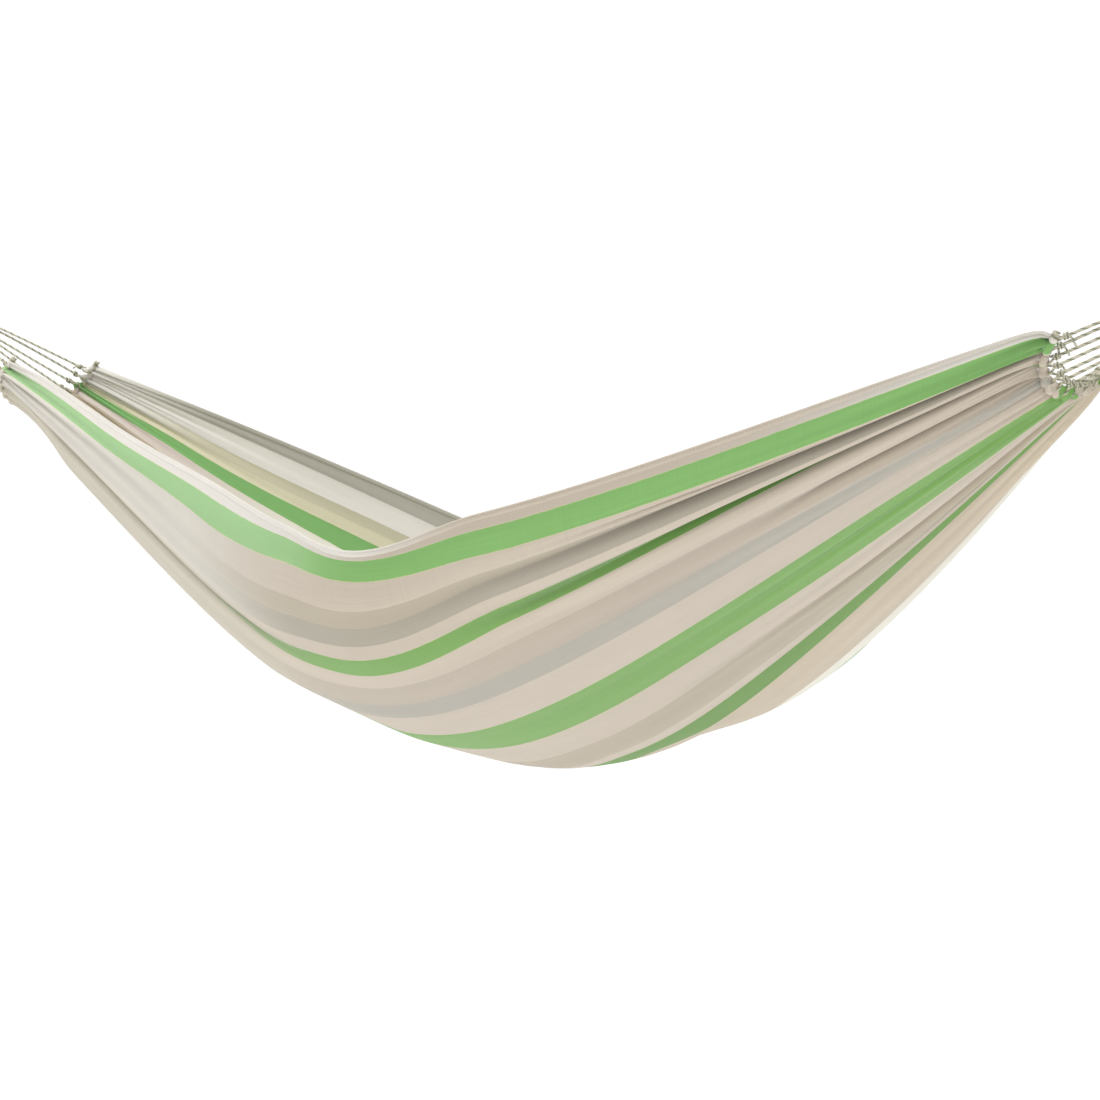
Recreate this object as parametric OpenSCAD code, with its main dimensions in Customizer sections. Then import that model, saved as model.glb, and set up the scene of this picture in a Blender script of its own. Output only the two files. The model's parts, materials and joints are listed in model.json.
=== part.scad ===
// Gathered-end cloth hammock that hangs from two rope eyes.
// Units are millimetres. +X runs from the left eye to the right eye, +Z is up,
// and the origin is the centre of the left thimble's bore.
// The near side of the bed is at -Y, the far side at +Y.

/* [Suspension] */
// Distance between the two thimble bores
eye_span = 2660; // [2600:10:2760]
// Height of the thimble bores above the line about which the bed is gathered
eye_rise = 75; // [60:5:100]
// Radius of each thimble's bore
bore_r = 15; // [12:0.5:16]
// Width of each thimble along its bore
thimble_w = 14; // [12:0.5:16]
// Diameter of the rope that forms each eye
eye_rope_d = 10; // [8:0.5:10]
// Diameter of one harness cord
cord_d = 4; // [3:0.5:4]
// Harness cords at each end
cord_count = 14; // [14:1:14]

/* [Bed] */
// Distance between the two gathered ends of the bed
bed_l = 1800; // [1700:10:1820]
// Depth of the bed below the gathering line, at its middle
bed_depth = 573; // [450:5:650]
// Cloth thickness, with the slack of the weave
cloth_t = 3; // [2:0.5:4]
// Half of the angle that the bed spans about the gathering line
half_angle = 55.3; // [40:0.5:60]
// Lean of the bed towards its near side
lean = 3.6; // [0:0.2:8]

/* [Gathered ends] */
// Half width of the gathered end
header_w = 100; // [80:5:110]
// Height of the gathered end's arc
header_d = 56; // [50:2:70]
// Drop of the arc's centre below the gathering line
header_drop = 42; // [30:2:60]
// Outside diameter of the stitched channel along each gathered end
hem_d = 11; // [10:0.5:12]
// Diameter of the cord inside that channel
header_cord_d = 5; // [4:0.5:6]

/* [Hidden] */
$fn = 64;

SIDES = ["left", "right"];
CORD_NUMBERS = [for (i = [1 : cord_count]) str(i < 10 ? "0" : "", i)];

// Bed: how its depth changes from the near rim (w = -1) to the far rim (w = 1)
rim_gain = 78;       // extra depth of both rims
far_gain = 131;      // extra depth of the far rim, taken from the near rim
flank_gain = 138;    // bulge of the flanks between the middle and the rims
// Roundness of the sag along the bed: 0 is a sharp V
middle_round = 0.25;
rim_round = 0.15;
// How far the lowest point of the rims lies towards the right end
rim_skew = 0.31;
// Gathered ends: how far each arc's middle stands out of the plane of its ends
left_bow = 55;
right_bow = -35;
// How far the left end leans out on its far side
left_turn = 18;
// Angle of the gathered end's arc on each side of its lowest point
header_angle = 100;

// Steps of the cloth, its hems and its cords, along the bed and across it
LENGTH_STEPS = 56;
WIDTH_STEPS = 34;

// Side hems: rolled edge along both rims
side_hem_d = 6;
side_hem_start = 0.006;
gap = 0.3;             // left between soft pieces that meet
cloth_gap = 1.6;       // left between the cloth's end and the channel beyond it
rim_gap = 0.4;         // left between the cloth's rims and their hems
bundle_gap = 1.4;      // left between the bundle's end and the cords

// Neck of each end, measured along X from the thimble's bore
bundle_r = 11;
bundle_start = 78;
bundle_end = 124;
whipping_start = 50;
whipping_end = 112;
whipping_t = 4;
whipping_clearance = 0.05;
seat_depth = 5;        // depth of the rope groove in the thimble
thimble_wall = 3.5;    // metal left under the groove

axis_z = -eye_rise;
rope_r = eye_rope_d / 2;
groove_r = bore_r + thimble_wall;
flange_r = groove_r + seat_depth;
leg_z = rope_r + 0.2;

// ---- vector helpers ----

function unit(v) = v / norm(v);
function mix(a, b, share) = a + (b - a) * share;

// ---- shape of the bed ----
// t runs along the cloth from the left end (0) to the right end (1),
// w runs across it from the near rim (-1) to the far rim (1).

function depth_at(w) =
    bed_depth + rim_gain * w * w + far_gain * w + flank_gain * w * w * (1 - w * w);

// Share of the full sag at t: a V whose point is rounded off by k
function sag_at(t, w) =
    let (
        k = mix(middle_round, rim_round, w * w),
        u = 2 * (t - rim_skew * w * w * t * (1 - t)) - 1
    )
    1 - (sqrt(u * u + k * k) - k) / (sqrt(1 + k * k) - k);

// Cross-section where the bed is deepest, and the arc of a gathered end, as [y, z]
function middle_yz(w) =
    let (a = half_angle * w - lean)
    depth_at(w) * [sin(a), -cos(a)];
function header_yz(w) =
    [header_w * sin(header_angle * w), -header_drop - header_d * cos(header_angle * w)];

function left_x(w) = (eye_span - bed_l) / 2 - left_bow * (1 - w * w) - left_turn * w;
function right_x(w) = (eye_span + bed_l) / 2 + right_bow * (1 - w * w);

function bed_point(t, w) =
    let (yz = mix(header_yz(w), middle_yz(w), sag_at(t, w)))
    [mix(left_x(w), right_x(w), t), yz[0], yz[1] + axis_z];

// Directions of the bed's surface: along it, across it, and out of it
step = 0.002;
function along_at(t, w) = bed_point(min(t + step, 1), w) - bed_point(max(t - step, 0), w);
function across_at(t, w) = bed_point(t, min(w + step, 1)) - bed_point(t, max(w - step, -1));
function bed_normal(t, w) = unit(cross(across_at(t, w), along_at(t, w)));

// ---- faceted solids ----

// Two triangles of the quad a, b, c, d
function quad(a, b, c, d) = [[a, b, c], [a, c, d]];

// Closed shell between an outer and an inner grid of points of the same size
module shell(outer, inner) {
    rows = len(outer);
    cols = len(outer[0]);
    total = rows * cols;
    points = [for (grid = [outer, inner]) for (row = grid) for (p = row) p];
    function at(i, j) = i * cols + j;
    skin = [for (i = [0 : rows - 2]) for (j = [0 : cols - 2])
        each quad(at(i, j), at(i + 1, j), at(i + 1, j + 1), at(i, j + 1))];
    lining = [for (f = skin) [f[2] + total, f[1] + total, f[0] + total]];
    long_edges = [for (i = [0 : rows - 2]) for (j = [0, cols - 1])
        let (
            a = at(i, j),
            b = at(i + 1, j),
            edge = quad(a, b, b + total, a + total)
        )
        each (j > 0 ? edge : [for (f = edge) [f[2], f[1], f[0]]])];
    short_edges = [for (j = [0 : cols - 2]) for (i = [0, rows - 1])
        let (
            a = at(i, j),
            b = at(i, j + 1),
            edge = quad(a, b, b + total, a + total)
        )
        each (i > 0 ? [for (f = edge) [f[2], f[1], f[0]]] : edge)];
    polyhedron(points, concat(skin, lining, long_edges, short_edges), convexity = 10);
}

// Ring of points of radius r about a point of a path
function ring(path, i, reference, r, sides) =
    let (
        last = len(path) - 1,
        along = unit(path[min(i + 1, last)] - path[max(i - 1, 0)]),
        first = unit(cross(along, reference)),
        second = cross(along, first)
    )
    [for (k = [0 : sides - 1])
        path[i] + r * (cos(360 * k / sides) * first + sin(360 * k / sides) * second)];

// Solid rod swept along a path; reference is a direction that the path never takes
module swept_rod(path, r, reference, sides = 12) {
    last = len(path) - 1;
    points = [for (i = [0 : last]) each ring(path, i, reference, r, sides)];
    function at(i, k) = i * sides + k % sides;
    wall = [for (i = [0 : last - 1]) for (k = [0 : sides - 1])
        each quad(at(i, k), at(i, k + 1), at(i + 1, k + 1), at(i + 1, k))];
    caps = [
        [for (k = [sides - 1 : -1 : 0]) at(0, k)],
        [for (k = [0 : sides - 1]) at(last, k)]
    ];
    polyhedron(points, concat([for (f = wall) [f[2], f[1], f[0]]],
        [for (c = caps) [for (k = [len(c) - 1 : -1 : 0]) c[k]]]), convexity = 10);
}

// Open-ended sleeve swept along a path
module swept_sleeve(path, outer_r, inner_r, reference, sides = 12) {
    last = len(path) - 1;
    points = [for (r = [outer_r, inner_r]) for (i = [0 : last])
        each ring(path, i, reference, r, sides)];
    total = (last + 1) * sides;
    function at(i, k) = i * sides + k % sides;
    outside = [for (i = [0 : last - 1]) for (k = [0 : sides - 1])
        each quad(at(i, k), at(i + 1, k), at(i + 1, k + 1), at(i, k + 1))];
    inside = [for (f = outside) [f[2] + total, f[1] + total, f[0] + total]];
    mouths = [for (k = [0 : sides - 1]) each concat(
        quad(at(0, k), at(0, k + 1), at(0, k + 1) + total, at(0, k) + total),
        quad(at(last, k + 1), at(last, k), at(last, k) + total, at(last, k + 1) + total))];
    polyhedron(points, concat(outside, inside, mouths), convexity = 10);
}

// Straight round rod from a to b
module rod(a, b, r) {
    v = b - a;
    translate(a)
        rotate([0, acos(v[2] / norm(v)), atan2(v[1], v[0])])
            cylinder(h = norm(v), r = r);
}

// Puts a piece of the left end at the right end
module on_side(side) {
    if (side == "left")
        children();
    else
        translate([eye_span, 0, 0]) mirror([1, 0, 0]) children();
}

// ---- bed ----

module bed_cloth() {
    function grid(offset) = [for (i = [0 : LENGTH_STEPS]) [for (j = [0 : WIDTH_STEPS])
        let (t = i / LENGTH_STEPS, w = 2 * j / WIDTH_STEPS - 1)
        bed_point(t, w) + offset * bed_normal(t, w)]];
    color("wheat") shell(grid(cloth_t / 2), grid(-cloth_t / 2));
}

// Rolled edge that runs along one rim, just outside the cloth's edge
module side_hem(w) {
    path = [for (i = [0 : LENGTH_STEPS])
        let (
            t = min(max(i / LENGTH_STEPS, side_hem_start), 1 - side_hem_start),
            outward = w * unit(cross(along_at(t, w), bed_normal(t, w)))
        )
        bed_point(t, w) + (side_hem_d / 2 + rim_gap) * outward];
    color("ivory") swept_rod(path, side_hem_d / 2, [0, 1, 0], 8);
}

module near_side_hem() {
    side_hem(-1);
}

module far_side_hem() {
    side_hem(1);
}

// ---- gathered ends ----

// Centre line of the channel along a gathered end, just outside the cloth
function header_point(side, w) =
    let (
        t = side == "left" ? 0 : 1,
        outward = (2 * t - 1) * unit(cross(bed_normal(t, w), across_at(t, w)))
    )
    bed_point(t, w) + (hem_d / 2 + cloth_gap) * outward;

function header_path(side, reach) =
    [for (i = [0 : WIDTH_STEPS]) header_point(side, reach * (2 * i / WIDTH_STEPS - 1))];

module end_hem(side) {
    color("antiquewhite")
        swept_sleeve(header_path(side, 1), hem_d / 2, header_cord_d / 2 + gap, [1, 0, 0]);
}

module header_cord(side) {
    color("darkseagreen")
        swept_rod(header_path(side, 0.995), header_cord_d / 2, [1, 0, 0]);
}

module left_end_hem() {
    end_hem("left");
}

module right_end_hem() {
    end_hem("right");
}

module left_header_cord() {
    header_cord("left");
}

module right_header_cord() {
    header_cord("right");
}

// ---- harness ----
// Four cords leave the middle of the bundle's end and the rest a ring about it.

CORE_CORDS = [4, 6, 9, 11];
core_ring_r = 3.2;
outer_ring_r = 8.4;
outer_count = cord_count - len(CORE_CORDS);

// Number of outer cords up to and including cord i
function outer_rank(i) = len([for (k = [1 : i]) if (len(search(k, CORE_CORDS)) == 0) k]);

// Where cord i leaves the bundle, as [y, z]; both rings open at the top
function bundle_yz(i) =
    let (
        core = search(i, CORE_CORDS),
        is_core = len(core) > 0,
        angle = is_core
            ? -135 + 90 * core[0]
            : -162 + 36 * (outer_rank(i) - 1)
    )
    (is_core ? core_ring_r : outer_ring_r) * [sin(angle), -cos(angle)];

function cord_start(side, i) =
    let (yz = bundle_yz(i))
    [side == "left" ? bundle_end : eye_span - bundle_end, yz[0], yz[1]];

// The cord stops where its end face just clears the channel
function cord_end(side, i) =
    let (
        w = 2 * (i - 0.5) / cord_count - 1,
        goal = header_point(side, w),
        channel = unit(header_point(side, w + 0.01) - header_point(side, w - 0.01)),
        back = unit(cord_start(side, i) - goal),
        slant = abs(back * channel)
    )
    goal + (hem_d / 2 + gap + cord_d / 2 * slant) / sqrt(1 - slant * slant) * back;

module harness_cord(side, i) {
    color("darkkhaki") rod(cord_start(side, i), cord_end(side, i), cord_d / 2);
}

// Round head of the harness, where all its cords lie together
module cord_bundle(side) {
    color("darkkhaki") on_side(side)
        translate([bundle_start, 0, 0])
            rotate([0, 90, 0])
                cylinder(h = bundle_end - bundle_start - bundle_gap, r = bundle_r);
}

module left_cord_bundle() {
    cord_bundle("left");
}

module right_cord_bundle() {
    cord_bundle("right");
}

// ---- eyes ----

// Winding that binds the eye rope's legs; the bundle turns in its bore
module whipping(side) {
    bore = bundle_r + whipping_clearance;
    color("gainsboro") on_side(side)
        translate([whipping_start, 0, 0])
            rotate([0, 90, 0])
                difference() {
                    cylinder(h = whipping_end - whipping_start, r = bore + whipping_t);
                    translate([0, 0, -1])
                        cylinder(h = whipping_end - whipping_start + 2, r = bore);
                }
}

module left_whipping() {
    whipping("left");
}

module right_whipping() {
    whipping("right");
}

// Rope laid round the thimble, with two legs that run side by side into the whipping
module eye_rope(side) {
    loop_r = groove_r + rope_r + 0.1;
    leg_start = 38;
    wrap = 128;
    turn = [for (i = [0 : 24])
        let (a = 180 - wrap + 2 * wrap * i / 24)
        loop_r * [cos(a), 0, sin(a)]];
    path = concat(
        [[bundle_start - 1, 0, leg_z], [62, 0, leg_z], [50, 0, leg_z + 0.6], [leg_start, 0, leg_z + 5]],
        turn,
        [[leg_start, 0, -leg_z - 5], [50, 0, -leg_z - 0.6], [62, 0, -leg_z], [bundle_start - 1, 0, -leg_z]]
    );
    color("tan") on_side(side) swept_rod(path, rope_r, [0, 1, 0]);
}

module left_eye_rope() {
    eye_rope("left");
}

module right_eye_rope() {
    eye_rope("right");
}

// Round thimble: a ring with a rope groove round its outside
module thimble(side) {
    color("silver") on_side(side)
        rotate([90, 0, 0])
            rotate_extrude()
                difference() {
                    translate([bore_r, -thimble_w / 2])
                        square([flange_r - bore_r, thimble_w]);
                    translate([groove_r + rope_r, 0])
                        circle(r = rope_r);
                }
}

module left_thimble() {
    thimble("left");
}

module right_thimble() {
    thimble("right");
}

bed_cloth();
near_side_hem();
far_side_hem();
left_end_hem();
right_end_hem();
left_header_cord();
right_header_cord();
for (side = SIDES)
    for (i = [1 : cord_count])
        harness_cord(side, i);
left_cord_bundle();
right_cord_bundle();
left_whipping();
right_whipping();
left_eye_rope();
right_eye_rope();
left_thimble();
right_thimble();
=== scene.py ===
# Looks of a gathered-end striped cloth hammock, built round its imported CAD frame.
# Units are metres. +X runs from the left eye to the right eye, -Y is the near side, +Z is up.

import json
import math

import bpy
import numpy as np
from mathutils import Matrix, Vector


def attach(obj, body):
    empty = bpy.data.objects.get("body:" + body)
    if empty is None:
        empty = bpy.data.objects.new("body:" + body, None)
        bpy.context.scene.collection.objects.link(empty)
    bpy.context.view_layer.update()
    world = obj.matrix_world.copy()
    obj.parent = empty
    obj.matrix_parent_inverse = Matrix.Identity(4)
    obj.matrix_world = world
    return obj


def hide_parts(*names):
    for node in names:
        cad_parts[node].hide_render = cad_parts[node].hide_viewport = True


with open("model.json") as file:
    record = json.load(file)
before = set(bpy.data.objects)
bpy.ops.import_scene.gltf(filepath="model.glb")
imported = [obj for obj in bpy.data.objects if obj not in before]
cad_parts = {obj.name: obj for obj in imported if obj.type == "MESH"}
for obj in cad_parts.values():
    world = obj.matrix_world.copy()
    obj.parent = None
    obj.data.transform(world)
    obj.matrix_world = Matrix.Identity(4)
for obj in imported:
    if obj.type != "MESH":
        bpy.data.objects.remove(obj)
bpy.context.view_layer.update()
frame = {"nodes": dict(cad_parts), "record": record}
MOUNTS = {m["name"]: m for m in frame["record"]["mounts"]}
SIDES = ("left", "right")
# Direction along X from each end towards the middle
INWARD = {"left": 1, "right": -1}

# ---- driving dimensions ----
# The bed's form, the bundles, the eyes and the cords' thickness follow the CAD source. The cloth
# and its hems are thinner than there, and the knots, the puckers and the bows are only here.

EYE_SPAN = MOUNTS["right_eye"]["pos_m"][0]
# Height of the eyes above the line about which the bed is gathered
EYE_RISE = 0.075
# Distance between the gathered ends, and depth of the bed below that line at its middle
BED_L = 1.8
BED_DEPTH = 0.573
# Half of the angle that the bed spans, and its lean towards the near side
HALF_ANGLE = math.radians(55.3)
LEAN = math.radians(3.6)
# Arc of each gathered end: half width, height, drop of its centre, angle on each side
HEADER_W = 0.1
HEADER_D = 0.056
HEADER_DROP = 0.042
HEADER_ANGLE = math.radians(100)
# Extra depth of both rims, of the far rim alone, and of the flanks between middle and rims
RIM_GAIN = 0.078
FAR_GAIN = 0.131
FLANK_GAIN = 0.138
# Roundness of the sag along the bed: 0 is a sharp V
MIDDLE_ROUND = 0.25
RIM_ROUND = 0.15
# How far the lowest point of the rims lies towards the right end
RIM_SKEW = 0.31
# How far each gathered end's middle, and the left end's far side, stand out
LEFT_BOW = 0.055
RIGHT_BOW = -0.035
LEFT_TURN = 0.018

# Harness: its cords, the stretch where they are bundled, and the two rings they lie in there
CORD_COUNT = 14
CORD_D = 0.004
CORD_R = CORD_D / 2
BUNDLE_START = 0.078
BUNDLE_END = 0.124
CORE_CORDS = (4, 6, 9, 11)
CORE_RING_R = 0.0032
OUTER_RING_R = 0.0084
# How far the bundle's cords run into the harness cords, so that no gap shows
BUNDLE_LAP = 0.0005
# Straight run of each cord beyond the bundle, how far it may bow, and the distance of its knot
# from the channel's centre
BUNDLE_LEAD = 0.010
CORD_BOW = 0.0025
KNOT_AT = 0.013
# Knot: wraps round the cord, how far before the knot they start, and the free end's length
WRAP_R = 0.0030
WRAP_TURNS = 2
WRAP_L = 0.0070
WRAP_LEAD = 0.002
TAIL_L = (0.005, 0.012)
# Room between the channel and the loop, and the thickness of each part's cord
LOOP_ROOM = 0.0004
LOOP_CORD_R = 0.0017
WRAP_CORD_R = 0.0016
TAIL_CORD_R = 0.0014

# Channel along each gathered end, its puckers at each harness cord, and their height
CHANNEL_R = 0.0046
PUCKERS = 4
PUCKER_HEIGHT = 0.00035
# Cord inside the channel, the wraps of its stopper knots, and how far beyond its end they start
HEADER_CORD_R = 0.0025
STOPPER_R = 0.0028
STOPPER_TURNS = 2.5
STOPPER_L = 0.008
STOPPER_GAP = 0.0005
STOPPER_CORD_R = 0.0019

# Rolled hems along the rims, and how far inside the cloth's edge their middles lie
SIDE_HEM_HALF_W = 0.0040
SIDE_HEM_HALF_T = 0.0017
SIDE_HEM_INSET = 0.0012

# Eyes: the whipping along X, its twine, and the rope that runs round the thimble
WHIPPING_START = 0.050
WHIPPING_END = 0.112
WHIPPING_R = 0.01505
TWINE_R = 0.00125
EYE_ROPE_R = 0.005
EYE_LOOP_R = 0.0236
EYE_LEG_Z = 0.0052

# Flat size of the cloth, and its thickness
CLOTH_W = 1.2
CLOTH_L = 2.1
CLOTH_T = 0.0012


# ---- camera ----

def make_camera():
    """Long-lens view of the near side from the right, a little above the bed."""
    target = Vector((1.4468, 0.0, -0.3743))
    azimuth = math.radians(37.99)
    elevation = math.radians(2.865)
    distance = 3.125
    back = Vector((
        math.sin(azimuth) * math.cos(elevation),
        -math.cos(azimuth) * math.cos(elevation),
        math.sin(elevation),
    ))
    data = bpy.data.cameras.new("camera")
    data.sensor_width = 36.0
    data.lens = 75.7
    camera = bpy.data.objects.new("camera", data)
    bpy.context.scene.collection.objects.link(camera)
    camera.location = target + distance * back
    camera.rotation_euler = (-back).to_track_quat("-Z", "Y").to_euler()
    bpy.context.scene.camera = camera


make_camera()


# ---- shape of the bed ----
# t runs along the cloth from the left end (0) to the right end (1),
# w runs across it from the near rim (-1) to the far rim (1). Both are arrays.

def mix(a, b, share):
    return a + (b - a) * share


def unit(vectors):
    return vectors / np.maximum(np.linalg.norm(vectors, axis=-1, keepdims=True), 1e-12)


def sag_at(t, w):
    """Share of the full depth: 0 at both ends, and a V with a round bottom between them."""
    k = mix(MIDDLE_ROUND, RIM_ROUND, w * w)
    u = 2 * (t - RIM_SKEW * w * w * t * (1 - t)) - 1
    return 1 - (np.sqrt(u * u + k * k) - k) / (np.sqrt(1 + k * k) - k)


def bed_point(t, w):
    t, w = np.broadcast_arrays(np.asarray(t, float), np.asarray(w, float))
    depth = BED_DEPTH + RIM_GAIN * w**2 + FAR_GAIN * w + FLANK_GAIN * w**2 * (1 - w**2)
    angle = HALF_ANGLE * w - LEAN
    arc = HEADER_ANGLE * w
    sag = sag_at(t, w)
    y = mix(HEADER_W * np.sin(arc), depth * np.sin(angle), sag)
    z = mix(-HEADER_DROP - HEADER_D * np.cos(arc), -depth * np.cos(angle), sag)
    left = (EYE_SPAN - BED_L) / 2 - LEFT_BOW * (1 - w**2) - LEFT_TURN * w
    right = (EYE_SPAN + BED_L) / 2 + RIGHT_BOW * (1 - w**2)
    return np.stack([mix(left, right, t), y, z - EYE_RISE], axis=-1)


def bed_directions(t, w, step=0.002):
    """Unit vectors along the bed, across it and out of it."""
    along = bed_point(np.minimum(t + step, 1), w) - bed_point(np.maximum(t - step, 0), w)
    across = bed_point(t, np.minimum(w + step, 1)) - bed_point(t, np.maximum(w - step, -1))
    return unit(along), unit(across), unit(np.cross(across, along))


# ---- folds ----
# v runs across the flat cloth from the near rim (0) to the far rim (1). Its place across the
# hanging bed, from 0 to 1 too, differs where tucks swallow cloth or strips slide.

def bump(x):
    """1 at 0, falling smoothly to 0 at -1 and 1."""
    x = np.clip(np.abs(x), 0, 1)
    return (1 - x * x) ** 2


def rise(x):
    """0 below 0, 1 above 1, smooth between."""
    x = np.clip(x, 0, 1)
    return x * x * (3 - 2 * x)


# Tucks swallow a strip of cloth near one end: side, centre across the cloth, half width of
# the strip, share of it that is hidden, where along the cloth it starts and is full, depth.
TUCKS = (
    ("right", 0.172, 0.036, 0.90, 0.60, 0.97, 0.026),
    ("right", 0.066, 0.010, 0.80, 0.66, 0.88, 0.010),
    ("right", 0.098, 0.030, 0.10, 0.55, 0.90, 0.014),
    ("right", 0.262, 0.026, 0.50, 0.80, 0.98, 0.018),
    ("right", 0.600, 0.016, 0.30, 0.62, 0.85, 0.006),
    ("left", 0.165, 0.045, 0.975, 0.43, 0.58, 0.007),
)
# Tucks run out over this distance from the gathered end, and their flanks are this hollow
TUCK_RUNOUT = 0.04
TUCK_HOLLOW = 1.3

# Slides move a strip of cloth across the bed: side, centre, half width, distance as a share of
# the bed's width, where along the cloth the slide starts and is full.
SLIDES = (
    ("right", 0.062, 0.060, 0.024, 0.55, 1.00),
    ("right", 0.865, 0.135, 0.084, 0.40, 0.72),
    ("right", 0.600, 0.170, 0.070, 0.68, 0.97),
    ("right", 0.570, 0.270, 0.016, 0.45, 0.70),
    ("left", 0.860, 0.120, -0.018, 0.91, 1.00),
    ("left", 0.870, 0.120, 0.028, 0.50, 0.70),
    ("left", 0.870, 0.120, -0.035, 0.70, 0.90),
    ("left", 0.045, 0.050, -0.020, 0.30, 0.42),
    ("left", 0.045, 0.050, 0.013, 0.44, 0.60),
    ("left", 0.045, 0.050, 0.016, 0.62, 0.82),
    ("left", 0.175, 0.080, 0.011, 0.32, 0.46),
)

# Long waves of the near rim: centre along the cloth, half length, lift, reach across the cloth
RIM_WAVES = (
    (0.245, 0.19, -0.012, 0.05),
    (0.595, 0.08, -0.017, 0.40),
    (1.000, 0.30, 0.012, 0.05),
)
RIM_WAVE_RUNOUT = 0.012

# Broad hollows and bulges: centre along and across, half length, half width, height outwards
SWELLS = (
    (0.520, 0.67, 0.06, 0.14, 0.008),
    (0.590, 0.82, 0.05, 0.11, -0.014),
    (0.450, 0.42, 0.05, 0.12, -0.009),
    (0.050, 0.31, 0.08, 0.20, -0.011),
    (0.665, 0.91, 0.06, 0.09, 0.006),
    (0.860, 0.81, 0.22, 0.06, 0.009),
    (0.860, 0.93, 0.22, 0.09, -0.017),
)

# Scallops between the harness cords: height out of the cloth, and its mean; depth of the cut
# into the cloth's end, and how far the end overhangs at a cord; reach of both along the cloth
SCALLOP_HEIGHT = 0.0075
SCALLOP_MEAN = 0.55
SCALLOP_REACH = 0.10
SCALLOP_CUT = 0.007
SCALLOP_OVERHANG = 0.0024
SCALLOP_CUT_REACH = 0.03

# Fine gathers in each scallop
GATHERS = 3
GATHER_HEIGHT = 0.0024
GATHER_REACH = 0.09

# Folds that fan out of a gathered end, drawn at random: ranges of place across the bed, half
# width, height, and reach along the cloth
FAN_FOLD_RANGES = ((0.02, 0.98), (0.010, 0.026), (-0.008, 0.006), (0.12, 0.42))
FAN_FOLD_COUNT = 40
FAN_FOLD_SEEDS = {"left": 11, "right": 23}
FAN_FOLD_RUNOUT = 0.03

# Strips of painted shade along folds: side, centre across the cloth, half width, where along the
# cloth the strip starts and is full, and how much deeper it counts than it lies (below 0 for less
# painted shade)
SHADE_STRIPS = (
    ("right", 0.171, 0.034, 0.62, 0.75, 0.0085),
    ("right", 0.098, 0.034, 0.70, 0.90, -0.0025),
)
# Depth of a crease that gets the darkest painted shade, and how much painted shade even cloth gets
DEEP_CREASE = 0.009
EVEN_CREASE = 0.15


def strength(side, t, start, full):
    """How far a fold that belongs to one end has grown at t."""
    from_far_end = t if side == "right" else 1 - t
    return rise((from_far_end - start) / (full - start))


def end_distance(side, t):
    """Distance along the cloth from one of its ends."""
    return (t if side == "left" else 1 - t) * CLOTH_L


def warp(t, v):
    """Where the cloth at v lies across the bed, as tucks close and the rest spreads out."""
    density = np.ones(np.broadcast(t, v).shape)
    for side, centre, half, hidden, start, full, _ in TUCKS:
        swallowed = hidden * strength(side, t, start, full) * bump((v - centre) / half)
        density = density * (1 - swallowed)
    steps = (density[:, 1:] + density[:, :-1]) / 2 * np.diff(v, axis=1)
    total = np.concatenate([np.zeros((density.shape[0], 1)), np.cumsum(steps, axis=1)], axis=1)
    place = total / total[:, -1:]
    for side, centre, half, distance, start, full in SLIDES:
        place = place + distance * strength(side, t, start, full) * bump((v - centre) / half)
    return place


def tuck_height(t, v):
    """Height of the cloth in its tucks, 0 or less."""
    height = np.zeros(np.broadcast(t, v).shape)
    for side, centre, half, _, start, full, deep in TUCKS:
        grown = strength(side, t, start, full) * (1 - np.exp(-end_distance(side, t) / TUCK_RUNOUT))
        flank = np.clip(1 - np.abs((v - centre) / half), 0, 1) ** TUCK_HOLLOW
        height = height - deep * grown * flank
    return height


def swell_height(t, v):
    return sum(
        height * bump((t - at_t) / half_t) * bump((v - at_v) / half_v)
        for at_t, at_v, half_t, half_v, height in SWELLS
    )


def rim_lift(t, v):
    """How far the near rim stands above the even shape of the bed."""
    lift = sum(
        high * bump((t - centre) / half) * (1 - rise(v / reach))
        for centre, half, high, reach in RIM_WAVES
    )
    for side in SIDES:
        lift = lift * (1 - np.exp(-end_distance(side, t) / RIM_WAVE_RUNOUT))
    return lift


def random_folds(seed):
    draw = np.random.default_rng(seed)
    return [
        [draw.uniform(low, high) for low, high in FAN_FOLD_RANGES]
        for _ in range(FAN_FOLD_COUNT)
    ]


FAN_FOLDS = {side: random_folds(FAN_FOLD_SEEDS[side]) for side in SIDES}


def scallop(place):
    """0 at each harness cord, 1 halfway between two."""
    return np.abs(np.sin(math.pi * (CORD_COUNT * place - 0.5)))


def uneven_waves(place, per_cord, shift=0.0):
    """Unevenly spaced waves across the bed, so many to each harness cord."""
    c = CORD_COUNT * place
    return np.cos(2 * math.pi * per_cord * c + 2.0 * np.sin(5.3 * c) + shift)


def fold_height(t, place, fine=True):
    """Height of the scallops, the gathers and the folds that fan out of both ends."""
    height = np.zeros(np.broadcast(t, place).shape)
    for side in SIDES:
        d = end_distance(side, t)
        scallops = SCALLOP_HEIGHT * (scallop(place) - SCALLOP_MEAN)
        height = height + scallops * np.exp(-d / SCALLOP_REACH)
        if fine:
            gathers = GATHER_HEIGHT * uneven_waves(place, GATHERS)
            height = height + gathers * np.exp(-d / GATHER_REACH)
        for centre, half, high, reach in FAN_FOLDS[side]:
            grown = np.exp(-d / reach) * (1 - np.exp(-d / FAN_FOLD_RUNOUT))
            height = height + high * bump((place - centre) / half) * grown
    return height


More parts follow.
